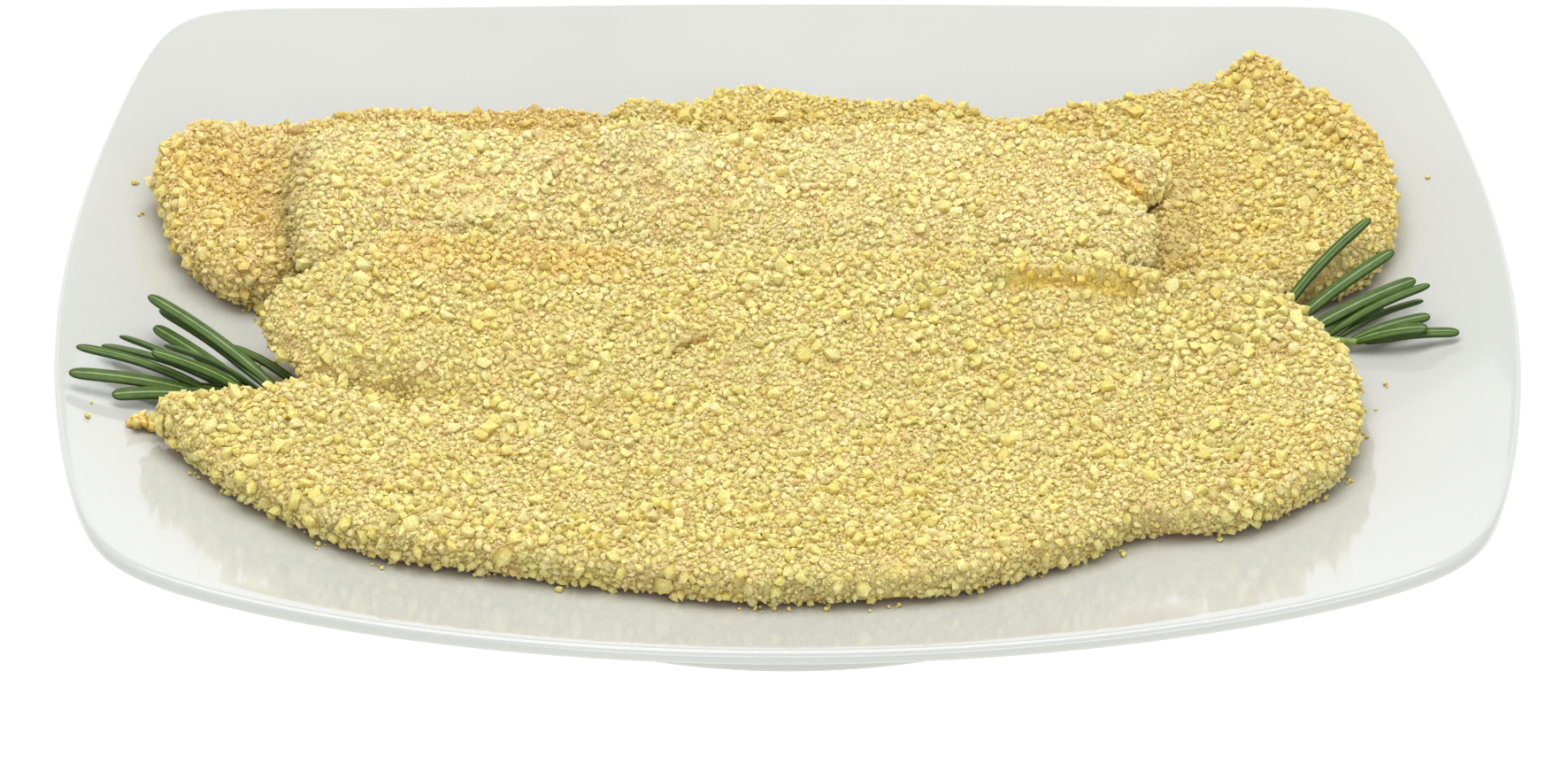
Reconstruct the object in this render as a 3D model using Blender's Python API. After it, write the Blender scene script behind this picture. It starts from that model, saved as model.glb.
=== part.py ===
# Four uncooked breaded schnitzels heaped on a square-cornered white plate, with two rosemary sprigs.
# Lengths below are in millimetres. X runs along the plate, Y to its back, Z up from the table.

import math

import bmesh
import bpy
import numpy as np
from mathutils import Matrix, Vector, geometry, noise

MM = 0.001
COLLECTION = "schnitzel_plate"
HELPERS = "schnitzel_plate_cutters"

# Plate: a shallow coupe whose rim crest is a square with bowed sides, on a round foot ring.
RIM_HALF_LENGTH = 135.0
RIM_HALF_WIDTH = 118.0
RIM_SQUARENESS = 17.0
RIM_END_BOW = 0.110
RIM_SIDE_BOW = 0.131
RIM_POINTS = 60
WELL_HEIGHT = 11.0
WELL_CURVE = 0.00072
WELL_FLATNESS = 1.2
WALL_AT_FOOT = 4.6
WALL_AT_RIM = 3.0
FOOT_RADIUS = 94.5
FOOT_WIDTH = 3.4
FOOT_RECESS = 6.0

# The grid on which each piece is draped over what lies below it.
GRID_STEP = 2.0
GRID_HALF_LENGTH = 140.0
GRID_HALF_WIDTH = 120.0
REST_GAP = 0.6
REST_SPREAD = 3.0

# Rosemary.
NEEDLE_WIDTH = 2.9
NEEDLE_THICKNESS = 1.4
NEEDLE_SIDES = 6
NEEDLE_RINGS = 5
NEEDLE_BLUNTNESS = 0.45
NEEDLE_BOW = 0.05
STEM_RADIUS = 1.1
STEM_SIDES = 8

# The schnitzels in the order in which they were laid down. Each has the outline of its cut, the line
# that its middle follows, its thickness, how far its edge is rounded, how stiffly it bridges a step,
# and its folds: a ridge (or a groove, where the height is negative) from one point to another.
SCHNITZELS = {
    "schnitzel_back_left": {
        "outline": [
            (-121, 36), (-119, 47), (-113, 56), (-104, 60), (-94, 60), (-84, 67), (-70, 70), (-56, 71),
            (-48, 73), (-36, 71), (-29, 64), (-28, 52), (-34, 40), (-55, 27), (-78, 19), (-91, 9),
            (-101, 4), (-111, 9), (-117, 23),
        ],
        "spine": ((-97, 32), (-50, 48)),
        "thickness": 9.5,
        "rounding": 5.0,
        "stiffness": 40,
        "points": 44,
        "folds": [
            ((-104, 56), (-100, 24), 5.0, -3.0),
            ((-114, 46), (-109, 20), 8.0, 1.2),
            ((-92, 50), (-91, 20), 8.0, 1.8),
        ],
    },
    "schnitzel_back_right": {
        "outline": [
            (-36, 54), (-34, 59), (-22, 68), (-10, 83), (2, 80), (20, 77), (30, 78), (44, 70), (61, 73),
            (77, 75), (87, 77), (93, 82), (98, 77), (107, 66), (113, 53), (116, 42), (116, 28), (114, 16),
            (108, 7), (98, 4), (84, 3), (70, 4), (58, 10), (38, 19), (10, 27), (-24, 38),
        ],
        "spine": ((-8, 48), (92, 38)),
        "thickness": 8.5,
        "rounding": 4.5,
        "stiffness": 60,
        "points": 60,
        "folds": [
            ((99, 70), (111, 46), 6.0, 2.4),
            ((111, 46), (112, 22), 6.0, 1.8),
            ((55, 67), (90, 74), 7.0, 1.8),
            ((94, 75), (96, 74), 4.0, 3.0),
            ((70, 34), (86, 26), 14.0, -2.2),
        ],
    },
    "schnitzel_middle": {
        "outline": [
            (-94, 20), (-94, 36), (-88, 44), (-79, 48), (-66, 50), (-54, 47), (-35, 43), (-15, 45), (2, 52),
            (21, 55), (41, 54), (53, 50), (63, 44), (73, 41), (74, 33), (66, 29), (69, 20), (70, 11),
            (63, 2), (46, -9), (10, -20), (-40, -20), (-72, -12), (-88, -3), (-93, 8),
        ],
        "spine": ((-60, 12), (48, 24)),
        "thickness": 8.0,
        "rounding": 4.5,
        "stiffness": 90,
        "points": 60,
        "folds": [
            ((40, 44), (57, 39), 3.5, -1.6),
            ((58, 42), (70, 38), 4.5, 1.5),
            ((-70, 38), (-20, 34), 9.0, 0.8),
        ],
    },
    "schnitzel_front": {
        "outline": [
            (-117, -46), (-110, -55), (-103, -65), (-94, -72), (-82, -81), (-73, -86), (-53, -89),
            (-30, -94), (-7, -99), (17, -98), (33, -95), (46, -87), (54, -84), (60, -76), (66, -75),
            (79, -77), (89, -72), (97, -66), (103, -54), (105, -36), (102, -21), (94, -8), (89, -3),
            (80, -1), (72, -3), (65, -3), (51, -1), (37, 2), (18, 4), (-1, 6), (-31, 7), (-55, 7), (-69, 6),
            (-77, 2), (-86, -5), (-94, -8), (-99, -13), (-96, -20), (-89, -28), (-94, -38), (-102, -43),
            (-109, -41),
        ],
        "spine": ((-62, -36), (62, -40)),
        "thickness": 7.5,
        "rounding": 4.0,
        "stiffness": 90,
        "points": 84,
        "folds": [
            ((-90, -28), (-72, -36), 4.5, -3.2),
            ((-72, -36), (-50, -38), 7.0, -1.6),
            ((-104, -46), (-76, -45), 6.0, 1.8),
            ((38, -1), (66, -4), 3.5, 1.3),
            ((38, -8), (66, -10), 3.5, -1.4),
            ((-15, -23), (-14, -23), 5.0, 1.8),
            ((84, -12), (92, -16), 6.0, 1.4),
        ],
    },
}

# Each sprig has its stem's two ends over the plate, and its needles: how far along the stem each
# grows (0 at the hidden end, 1 at the growing tip), and where its point is.
SPRIGS = {
    "rosemary_left": {
        "stem": ((-76, -21), (-107, -31)),
        "needles": [
            (0.42, (-104, -13, 20)), (0.56, (-119, -8, 28)), (0.60, (-117, -8, 25)),
            (0.72, (-118, -11, 23)), (0.66, (-115, -26, 28)), (0.74, (-117, -30, 29)),
            (0.86, (-124, -16, 24)), (0.80, (-127, -21, 25)), (0.92, (-131, -28, 29)),
            (0.96, (-132, -34, 27)), (0.78, (-114, -31, 22)), (0.98, (-124, -37, 24)),
        ],
    },
    "rosemary_right": {
        "stem": ((83, -2), (108, -12)),
        "needles": [
            (0.26, (110, 13, 32)), (0.36, (114, 6, 29)), (0.48, (118, 2, 25)), (0.56, (112, 0, 20)),
            (0.68, (120, -5, 28)), (0.76, (119, -4, 24)), (0.86, (120, -8, 23)), (0.90, (119, -14, 24)),
            (0.98, (125, -14, 23)),
        ],
    },
}


# --- curves and fields ---


def plate_top(x, y):
    """Height of the plate's upper surface, which rises with the square of the distance from the middle."""
    square = ((np.abs(x) / RIM_HALF_LENGTH) ** 4 + (np.abs(y) / RIM_HALF_WIDTH) ** 4) ** 0.25
    return WELL_HEIGHT + WELL_CURVE * (x * x + y * y) * np.minimum(square, 1.05) ** WELL_FLATNESS


def spaced(loop, count, corner_weight=0.0):
    """The closed loop through `count` points, closer together where it turns."""
    closed = np.vstack([loop, loop[:1]])
    step = np.diff(closed, axis=0)
    length = np.hypot(step[:, 0], step[:, 1])
    heading = np.arctan2(step[:, 1], step[:, 0])
    turn = np.abs((np.diff(np.append(heading, heading[0])) + np.pi) % (2 * np.pi) - np.pi)
    travelled = np.concatenate([[0.0], np.cumsum(length + corner_weight * turn)])
    at = np.linspace(0.0, travelled[-1], count, endpoint=False)
    return np.stack([np.interp(at, travelled, closed[:, axis]) for axis in (0, 1)], axis=1)


def rim_crest():
    """The rim's crest seen from above."""
    angle = np.linspace(0.0, 2 * np.pi, 1440, endpoint=False)
    cos, sin = np.cos(angle), np.sin(angle)
    reach = (np.abs(cos) ** RIM_SQUARENESS + np.abs(sin) ** RIM_SQUARENESS) ** (-1 / RIM_SQUARENESS)
    u, v = reach * cos, reach * sin
    x = RIM_HALF_LENGTH * u * (1 - RIM_END_BOW * v**2)
    y = RIM_HALF_WIDTH * v * (1 - RIM_SIDE_BOW * u**2)
    return spaced(np.stack([x, y], axis=1), RIM_POINTS, corner_weight=55.0)


def smooth_loop(corners, count):
    """A smooth closed curve through the corners of an outline."""
    corners = [Vector(corner) for corner in corners]
    total = len(corners)
    points = []
    for i, here in enumerate(corners):
        before, after, beyond = corners[i - 1], corners[(i + 1) % total], corners[(i + 2) % total]
        reach = (after - here).length / 3
        leave = here + (after - before).normalized() * reach
        arrive = after - (beyond - here).normalized() * reach
        points += geometry.interpolate_bezier(here, leave, arrive, after, 13)[:-1]
    return spaced(np.array([point[:2] for point in points]), count)


def edge_distance(loop, x, y):
    """How far each point lies inside the loop, negative outside it."""
    best = np.full(x.shape, 1e9)
    inside = np.zeros(x.shape, bool)
    for (ax, ay), (bx, by) in zip(loop, np.roll(loop, -1, axis=0)):
        ex, ey = bx - ax, by - ay
        along = np.clip(((x - ax) * ex + (y - ay) * ey) / (ex * ex + ey * ey), 0, 1)
        best = np.minimum(best, np.hypot(x - ax - along * ex, y - ay - along * ey))
        crosses = (ay > y) != (by > y)
        inside ^= crosses & (x < ax + (y - ay) / (ey if ey else 1e-9) * ex)
    return np.where(inside, best, -best)


def segment_distance(start, end, x, y):
    ex, ey = end[0] - start[0], end[1] - start[1]
    along = np.clip(((x - start[0]) * ex + (y - start[1]) * ey) / max(ex * ex + ey * ey, 1e-9), 0, 1)
    return np.hypot(x - start[0] - along * ex, y - start[1] - along * ey)


def rounded(distance, radius):
    """0 at an edge, rising as a quarter circle to 1 at the radius."""
    share = np.clip(distance / radius, 0, 1)
    return np.sqrt(1 - (1 - share) ** 2)


def unevenness(x, y, seed):
    """Gentle hand-cut unevenness, in millimetres."""
    values = []
    for a, b in zip(np.ravel(x), np.ravel(y)):
        broad = noise.noise(Vector((a / 26, b / 26, seed)))
        narrow = noise.noise(Vector((a / 11, b / 11, seed + 40)))
        values.append(0.9 * broad + 0.6 * narrow)
    return np.array(values).reshape(np.shape(x))


# --- draping on a grid ---


def grid_axes():
    return np.meshgrid(
        np.arange(-GRID_HALF_LENGTH, GRID_HALF_LENGTH + 0.1, GRID_STEP),
        np.arange(-GRID_HALF_WIDTH, GRID_HALF_WIDTH + 0.1, GRID_STEP),
        indexing="ij",
    )


def sample(field, x, y):
    """Reads a grid field between its points."""
    i = (x + GRID_HALF_LENGTH) / GRID_STEP
    j = (y + GRID_HALF_WIDTH) / GRID_STEP
    i0 = np.clip(i.astype(int), 0, field.shape[0] - 2)
    j0 = np.clip(j.astype(int), 0, field.shape[1] - 2)
    u, v = i - i0, j - j0
    near = field[i0, j0] * (1 - v) + field[i0, j0 + 1] * v
    far = field[i0 + 1, j0] * (1 - v) + field[i0 + 1, j0 + 1] * v
    return near * (1 - u) + far * u


def widened(field, reach):
    """The highest value within reach of each grid point."""
    cells = int(round(reach / GRID_STEP))
    result = field.copy()
    for i in range(-cells, cells + 1):
        for j in range(-cells, cells + 1):
            if math.hypot(i, j) <= cells + 0.3:
                result = np.maximum(result, np.roll(field, (i, j), axis=(0, 1)))
    return result


def draped(floor, passes):
    """A limp sheet lying on the floor field: it sinks in small steps and never goes through."""
    sheet = floor.copy()
    for _ in range(passes):
        edged = np.pad(sheet, 1, mode="edge")
        around = (edged[:-2, 1:-1] + edged[2:, 1:-1] + edged[1:-1, :-2] + edged[1:-1, 2:]) / 4
        sheet = np.maximum(floor, around)
    return sheet


class Cutlet:
    """One schnitzel: its outline, the underside draped on what lies below, and its thickness."""

    def __init__(self, spec, support, seed):
        self.spec = spec
        self.seed = seed
        self.loop = smooth_loop(spec["outline"], spec["points"])
        grid_x, grid_y = grid_axes()
        above_plate = widened(support - plate_top(grid_x, grid_y), REST_SPREAD)
        floor = plate_top(grid_x, grid_y) + above_plate + REST_GAP
        self.under_field = draped(floor, spec["stiffness"])

    def thickness(self, x, y):
        inside = np.maximum(edge_distance(self.loop, x, y), 0)
        relief = unevenness(x, y, self.seed)
        for start, end, width, height in self.spec["folds"]:
            relief = relief + height * np.exp(-((segment_distance(start, end, x, y) / width) ** 2))
        crown = rounded(inside, self.spec["rounding"])
        return self.spec["thickness"] * (0.45 + 0.55 * crown) + relief * rounded(inside, 9.0)

    def top(self, x, y):
        return sample(self.under_field, x, y) + self.thickness(x, y)

    def bottom(self, x, y):
        inside = np.maximum(edge_distance(self.loop, x, y), 0)
        lift = 0.45 * self.spec["thickness"] * (1 - rounded(inside, self.spec["rounding"]))
        return sample(self.under_field, x, y) + lift

    def covered(self, support):
        """The support field once this piece lies on it."""
        grid_x, grid_y = grid_axes()
        inside = edge_distance(self.loop, grid_x, grid_y) > -0.5 * GRID_STEP
        return np.where(inside, np.maximum(self.top(grid_x, grid_y), support), support)


# --- meshes ---


def loft(name, rings, close_with_pole):
    """A closed body through rings of equally many points, each ring an array of x, y, z."""
    mesh_build = bmesh.new()
    loops = [[mesh_build.verts.new(Vector(point) * MM) for point in ring] for ring in rings]
    count = len(loops[0])
    for inner, outer in zip(loops, loops[1:]):
        for i in range(count):
            j = (i + 1) % count
            mesh_build.faces.new((inner[i], outer[i], outer[j], inner[j]))
    for loop, ring in ((loops[0], rings[0]), (loops[-1], rings[-1])):
        if close_with_pole:
            pole = mesh_build.verts.new(Vector(np.mean(ring, axis=0)) * MM)
            for i in range(count):
                mesh_build.faces.new((pole, loop[i], loop[(i + 1) % count]))
        else:
            cap = mesh_build.faces.new(loop)
            bmesh.ops.triangulate(mesh_build, faces=[cap], ngon_method="BEAUTY")
    bmesh.ops.recalc_face_normals(mesh_build, faces=mesh_build.faces)
    return finished(name, mesh_build)


def finished(name, mesh_build):
    mesh = bpy.data.meshes.new(name)
    mesh_build.to_mesh(mesh)
    mesh_build.free()
    mesh.shade_smooth()
    return bpy.data.objects.new(name, mesh)


def ring_at(plan, height):
    return np.column_stack([plan, height])


def build_plate():
    crest = rim_crest()
    angle = np.arctan2(crest[:, 1], crest[:, 0])
    foot = FOOT_RADIUS * np.column_stack([np.cos(angle), np.sin(angle)])
    outward = crest / np.linalg.norm(crest, axis=1)[:, None]
    crest_height = plate_top(*crest.T)

    def between(share):
        return foot + share * (crest - foot)

    def upper(plan):
        return ring_at(plan, plate_top(*plan.T))

    def lower(share):
        wall = WALL_AT_FOOT + share * (WALL_AT_RIM - WALL_AT_FOOT)
        return ring_at(between(share), plate_top(*between(share).T) - wall)

    rings = [upper(foot * 0.33), upper(foot * 0.68)]
    rings += [upper(between(share)) for share in (0.0, 0.35, 0.65, 0.85, 0.95, 1.0)]
    for reach, drop in ((0.9, 0.4), (1.4, 1.5), (0.8, 2.6)):
        rings.append(ring_at(crest + reach * outward, crest_height - drop))
    rings += [lower(share) for share in (0.93, 0.6, 0.3, 0.03)]
    rings.append(ring_at(foot * 0.99, np.zeros(RIM_POINTS)))
    inner_foot = foot * (1 - FOOT_WIDTH / FOOT_RADIUS)
    rings.append(ring_at(inner_foot, np.zeros(RIM_POINTS)))
    rings.append(ring_at(inner_foot * 0.985, np.full(RIM_POINTS, FOOT_RECESS)))
    return loft("plate", rings, close_with_pole=True)


def build_schnitzel(name, cutlet):
    """Rings run from the middle of the top, over the edge, to the middle of the underside."""
    start, end = (np.array(point, float) for point in cutlet.spec["spine"])
    along = np.clip((cutlet.loop - start) @ (end - start) / np.sum((end - start) ** 2), 0, 1)
    middle = start + along[:, None] * (end - start)
    spread = cutlet.loop - middle
    length = np.linalg.norm(spread, axis=1)[:, None]

    def inset(distance):
        return middle + spread * (1 - distance / length)

    plans = [middle + spread * share for share in (0.15, 0.38, 0.6, 0.8)]
    top_plans = [*plans, inset(4.0), inset(1.3)]
    under_plans = [inset(2.2), *plans[::-1]]
    rings = [ring_at(plan, cutlet.top(*plan.T)) for plan in top_plans]
    rings.append(ring_at(cutlet.loop, cutlet.bottom(*cutlet.loop.T)))
    rings += [ring_at(plan, cutlet.bottom(*plan.T)) for plan in under_plans]
    return loft(name, rings, close_with_pole=False)


def stem_ends(spec):
    """The stem lies on the plate, just clear of it."""
    ends = []
    for x, y in spec["stem"]:
        height = float(plate_top(np.float64(x), np.float64(y))) + STEM_RADIUS + 0.9
        ends.append(Vector((x, y, height)))
    return ends


def build_needle(name, base, tip):
    """A flat spindle from base to tip that bows upwards."""
    axis = tip - base
    side = axis.cross(Vector((0, 0, 1))).normalized()
    upward = side.cross(axis).normalized()
    mesh_build = bmesh.new()
    bmesh.ops.create_uvsphere(mesh_build, u_segments=NEEDLE_SIDES, v_segments=NEEDLE_RINGS, radius=1.0)
    for vert in mesh_build.verts:
        along = 0.5 + 0.5 * math.copysign(abs(vert.co.z) ** NEEDLE_BLUNTNESS, vert.co.z)
        girth = math.hypot(vert.co.x, vert.co.y)
        fullness = girth**-0.5 if girth > 1e-6 else 0.0
        across = vert.co.x * fullness * NEEDLE_WIDTH / 2
        over = vert.co.y * fullness * NEEDLE_THICKNESS / 2
        bow = NEEDLE_BOW * axis.length * math.sin(math.pi * along)
        vert.co = (base + axis * along + side * across + upward * (over + bow)) * MM
    bmesh.ops.recalc_face_normals(mesh_build, faces=mesh_build.faces)
    return finished(name, mesh_build)


def build_sprig(name, spec, helpers):
    """The stem with every needle grown onto it, as one body."""
    start, end = stem_ends(spec)
    turned = (end - start).to_track_quat("Z", "Y").to_matrix().to_4x4()
    mesh_build = bmesh.new()
    bmesh.ops.create_cone(
        mesh_build,
        cap_ends=True,
        segments=STEM_SIDES,
        radius1=STEM_RADIUS * MM,
        radius2=STEM_RADIUS * 0.7 * MM,
        depth=(end - start).length * MM,
        matrix=Matrix.Translation((start + end) / 2 * MM) @ turned,
    )
    sprig = finished(name, mesh_build)
    needles = bpy.data.collections.new(name + "_needles")
    helpers.children.link(needles)
    for number, (share, tip) in enumerate(spec["needles"]):
        needle = build_needle(f"{name}_needle_{number}", start.lerp(end, share), Vector(tip))
        needle.hide_render = True
        needle.display_type = "WIRE"
        needles.objects.link(needle)
    join = sprig.modifiers.new("needles", "BOOLEAN")
    join.operation = "UNION"
    join.operand_type = "COLLECTION"
    join.collection = needles
    join.solver = "EXACT"
    return sprig


def over_sprigs(support):
    """The support field raised over the stems, so that what lies on a sprig clears it."""
    grid_x, grid_y = grid_axes()
    for spec in SPRIGS.values():
        start, end = stem_ends(spec)
        near = segment_distance(start, end, grid_x, grid_y) < 2 * STEM_RADIUS
        crown = plate_top(grid_x, grid_y) + 2 * STEM_RADIUS + 1.6
        support = np.where(near, np.maximum(support, crown), support)
    return support


def paint(piece, name, colour, roughness):
    material = bpy.data.materials.new(name)
    material.use_nodes = True
    shader = material.node_tree.nodes["Principled BSDF"]
    shader.inputs["Base Color"].default_value = (*colour, 1.0)
    shader.inputs["Roughness"].default_value = roughness
    shader.inputs["Metallic"].default_value = 0.0
    piece.data.materials.append(material)


def main():
    for old in list(bpy.data.objects):
        bpy.data.objects.remove(old)
    parts = bpy.data.collections.new(COLLECTION)
    helpers = bpy.data.collections.new(HELPERS)
    for collection in (parts, helpers):
        bpy.context.scene.collection.children.link(collection)

    plate = build_plate()
    paint(plate, "white_porcelain", (0.80, 0.81, 0.78), 0.15)
    parts.objects.link(plate)

    support = plate_top(*grid_axes())
    for seed, (name, spec) in enumerate(SCHNITZELS.items()):
        if name == "schnitzel_front":
            support = over_sprigs(support)
        cutlet = Cutlet(spec, support, seed)
        piece = build_schnitzel(name, cutlet)
        paint(piece, name + "_crumb", (0.78, 0.62, 0.24), 0.85)
        parts.objects.link(piece)
        support = cutlet.covered(support)

    for name, spec in SPRIGS.items():
        sprig = build_sprig(name, spec, helpers)
        paint(sprig, name + "_leaf", (0.06, 0.15, 0.04), 0.5)
        parts.objects.link(sprig)


main()
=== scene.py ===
import itertools
import math

import bmesh
import bpy
import numpy as np
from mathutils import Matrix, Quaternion, Vector
from mathutils.bvhtree import BVHTree
from mathutils.kdtree import KDTree


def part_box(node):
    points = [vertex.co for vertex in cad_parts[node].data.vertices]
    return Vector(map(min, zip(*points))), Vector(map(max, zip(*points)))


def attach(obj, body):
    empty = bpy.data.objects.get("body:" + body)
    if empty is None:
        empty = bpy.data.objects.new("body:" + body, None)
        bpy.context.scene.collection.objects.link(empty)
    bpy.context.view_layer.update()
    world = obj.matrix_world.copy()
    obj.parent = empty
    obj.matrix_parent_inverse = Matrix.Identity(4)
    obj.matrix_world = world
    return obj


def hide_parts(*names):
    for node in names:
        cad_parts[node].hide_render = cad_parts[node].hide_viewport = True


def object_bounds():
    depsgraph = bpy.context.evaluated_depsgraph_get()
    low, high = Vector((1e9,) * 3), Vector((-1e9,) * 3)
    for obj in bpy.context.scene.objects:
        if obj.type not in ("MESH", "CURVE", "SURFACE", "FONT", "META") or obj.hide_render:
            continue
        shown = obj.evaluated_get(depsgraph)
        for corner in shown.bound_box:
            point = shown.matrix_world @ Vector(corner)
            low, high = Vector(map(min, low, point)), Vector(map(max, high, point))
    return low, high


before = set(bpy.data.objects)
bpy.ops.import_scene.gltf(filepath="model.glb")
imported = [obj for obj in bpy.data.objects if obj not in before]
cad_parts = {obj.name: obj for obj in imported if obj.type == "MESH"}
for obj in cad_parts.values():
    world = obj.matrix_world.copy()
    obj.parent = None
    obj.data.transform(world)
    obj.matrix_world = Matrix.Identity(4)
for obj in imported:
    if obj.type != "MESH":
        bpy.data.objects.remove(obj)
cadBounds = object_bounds()
mm = 0.001

# Four breaded schnitzels and two rosemary sprigs on a white coupe plate.
# X runs along the plate, Y to its back, Z up from the table.
# The dictionaries hold millimetres, and colours as a screen shows them.


def paint(red, green, blue):
    linear = [((channel / 255 + 0.055) / 1.055) ** 2.4 for channel in (red, green, blue)]
    return (*linear, 1.0)


def addPiece(name, mesh, material, slotName, *nodes):
    piece = bpy.data.objects.new(name, mesh)
    bpy.context.collection.objects.link(piece)
    mesh.materials.append(material)
    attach(piece, "root")
    if nodes:
        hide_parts(*nodes)
    return piece


def meshFrom(bm, name, smooth=True):
    mesh = bpy.data.meshes.new(name)
    bm.to_mesh(mesh)
    bm.free()
    if smooth:
        mesh.shade_smooth()
    return mesh


def rolledGrid(around, along, place):
    # a grid rolled into a closed body; place(u, v) says where each of its points goes
    bm = bmesh.new()
    bmesh.ops.create_grid(bm, x_segments=around, y_segments=along, size=1.0)
    for vert in bm.verts:
        vert.co = place((vert.co.x + 1) / 2, (vert.co.y + 1) / 2)
    bmesh.ops.remove_doubles(bm, verts=bm.verts, dist=1e-6)
    bmesh.ops.recalc_face_normals(bm, faces=bm.faces)
    return bm


# node groups

def newGroup(name, inputs, outputs):
    group = bpy.data.node_groups.new(name, "ShaderNodeTree")
    for label, kind, value in inputs:
        socket = group.interface.new_socket(label, in_out="INPUT", socket_type="NodeSocket" + kind)
        socket.default_value = value
    for label, kind in outputs:
        group.interface.new_socket(label, in_out="OUTPUT", socket_type="NodeSocket" + kind)
    return group, group.nodes.new("NodeGroupInput"), group.nodes.new("NodeGroupOutput")


def ramp(nodes, stops, interpolation="LINEAR"):
    node = nodes.new("ShaderNodeValToRGB")
    node.color_ramp.interpolation = interpolation
    elements = node.color_ramp.elements
    while len(elements) < len(stops):
        elements.new(0.5)
    for element, (position, colour) in zip(elements, stops):
        element.position = position
        element.color = colour
    return node


def noiseAt(tree, coordinates, scale, detail=2.0, roughness=0.5):
    node = tree.nodes.new("ShaderNodeTexNoise")
    node.inputs["Scale"].default_value = scale
    node.inputs["Detail"].default_value = detail
    node.inputs["Roughness"].default_value = roughness
    tree.links.new(coordinates, node.inputs["Vector"])
    return node


def mixColour(tree, kind, factor, first, second):
    # each of factor, first and second is a socket to link or a value to set
    node = tree.nodes.new("ShaderNodeMix")
    node.data_type = "RGBA"
    node.blend_type = kind
    for index, value in ((0, factor), (6, first), (7, second)):
        if isinstance(value, bpy.types.NodeSocket):
            tree.links.new(value, node.inputs[index])
        else:
            node.inputs[index].default_value = value
    return node.outputs[2]


crumbPaint = {
    "stops": [
        (0.00, paint(192, 180, 112)),  # olive beige
        (0.20, paint(241, 218, 166)),  # salmon
        (0.38, paint(248, 239, 186)),  # cream
        (0.62, paint(247, 239, 168)),  # straw
        (0.84, paint(247, 236, 152)),  # lemon
        (1.00, paint(244, 224, 134)),  # golden
    ],
    "patchScale": 85.0,
    "patchTint": paint(255, 250, 242),
    "soakedAndShaded": paint(182, 146, 44),  # partly the egg that the crumbs stick in, partly painted shade that darkens the cracks and the low sides of the grains
    "speckleScale": 2600.0,
    # partly moist egg under the crust, partly painted shade for the contact shadow at the plate
    "wetAndContactShade": paint(244, 190, 120),
}


def crumbColourGroup():
    group, given, result = newGroup(
        "crumbColour",
        [("Tone", "Float", 0.5), ("Depth", "Float", 0.0), ("Tint", "Color", (1, 1, 1, 1))],
        [("Color", "Color"), ("Height", "Float")],
    )
    links = group.links
    place = group.nodes.new("ShaderNodeTexCoord")
    crumbs = ramp(group.nodes, crumbPaint["stops"])
    links.new(given.outputs["Tone"], crumbs.inputs["Fac"])
    patches = noiseAt(group, place.outputs["Object"], crumbPaint["patchScale"])
    speckle = noiseAt(group, place.outputs["Object"], crumbPaint["speckleScale"], 3.0, 0.7)
    patchRange = ramp(group.nodes, [(0.42, (0, 0, 0, 1)), (0.66, (1, 1, 1, 1))])
    links.new(patches.outputs["Fac"], patchRange.inputs["Fac"])
    grey = ramp(group.nodes, [(0.25, paint(205, 198, 190)), (0.6, (1, 1, 1, 1))])
    links.new(speckle.outputs["Fac"], grey.inputs["Fac"])
    tinted = mixColour(group, "MULTIPLY", 1.0, crumbs.outputs["Color"], given.outputs["Tint"])
    patched = mixColour(group, "MULTIPLY", patchRange.outputs["Color"], tinted, crumbPaint["patchTint"])
    # painted shade: where the depth mark is high, the colour is darkened towards the soaked colour
    soakedAndShaded = mixColour(group, "MULTIPLY", given.outputs["Depth"], patched, crumbPaint["soakedAndShaded"])
    speckled = mixColour(group, "MULTIPLY", 1.0, soakedAndShaded, grey.outputs["Color"])
    links.new(speckled, result.inputs["Color"])
    links.new(speckle.outputs["Fac"], result.inputs["Height"])
    return group


def newMaterial(name, **settings):
    material = bpy.data.materials.new(name)
    material.use_nodes = True
    shader = material.node_tree.nodes["Principled BSDF"]
    for label, value in settings.items():
        shader.inputs[label.replace("_", " ")].default_value = value
    return material, material.node_tree, shader


def bumpInto(tree, shader, height, strength, distance):
    bump = tree.nodes.new("ShaderNodeBump")
    bump.inputs["Strength"].default_value = strength
    bump.inputs["Distance"].default_value = distance
    tree.links.new(height, bump.inputs["Height"])
    tree.links.new(bump.outputs["Normal"], shader.inputs["Normal"])


def crumbMaterial(name):
    material, tree, shader = newMaterial(name, Roughness=0.75, Specular_IOR_Level=0.2)
    colour = tree.nodes.new("ShaderNodeGroup")
    colour.node_tree = crumbColour
    for mark, output in (("tone", "Fac"), ("depth", "Fac"), ("tint", "Color")):
        source = tree.nodes.new("ShaderNodeAttribute")
        source.attribute_name = mark
        tree.links.new(source.outputs[output], colour.inputs[mark.title()])
    tree.links.new(colour.outputs["Color"], shader.inputs["Base Color"])
    bumpInto(tree, shader, colour.outputs["Height"], 0.4, 0.15 * mm)
    return material


crumbColour = crumbColourGroup()
print("node groups made")


# the plate: its rim, well, lip and foot ring follow the CAD plate's own rule, at a finer step

plateLow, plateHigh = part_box("plate")
plateForm = {
    "lipRadius": 1.45,
    "halfLength": (plateHigh.x - plateLow.x) / 2 / mm - 1.4,
    "halfWidth": 118.0,
    "squareness": 17.0,
    "endBow": 0.110,
    "sideBow": 0.131,
    "wellHeight": 11.0,
    "wellCurve": 0.00072,
    "wellFlatness": 1.2,
    "wallAtFoot": 4.6,
    "wallAtRim": 3.0,
    "footRadius": 94.5,
    "footWidth": 3.4,
    "footRecess": 6.0,
    "points": 288,
    "colour": paint(200, 201, 195),
    "footColour": paint(226, 219, 205),
}


def plateTop(x, y):
    form = plateForm
    square = ((np.abs(x) / form["halfLength"]) ** 4 + (np.abs(y) / form["halfWidth"]) ** 4) ** 0.25
    rise = form["wellCurve"] * (x * x + y * y) * np.minimum(square, 1.05) ** form["wellFlatness"]
    return form["wellHeight"] + rise


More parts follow.
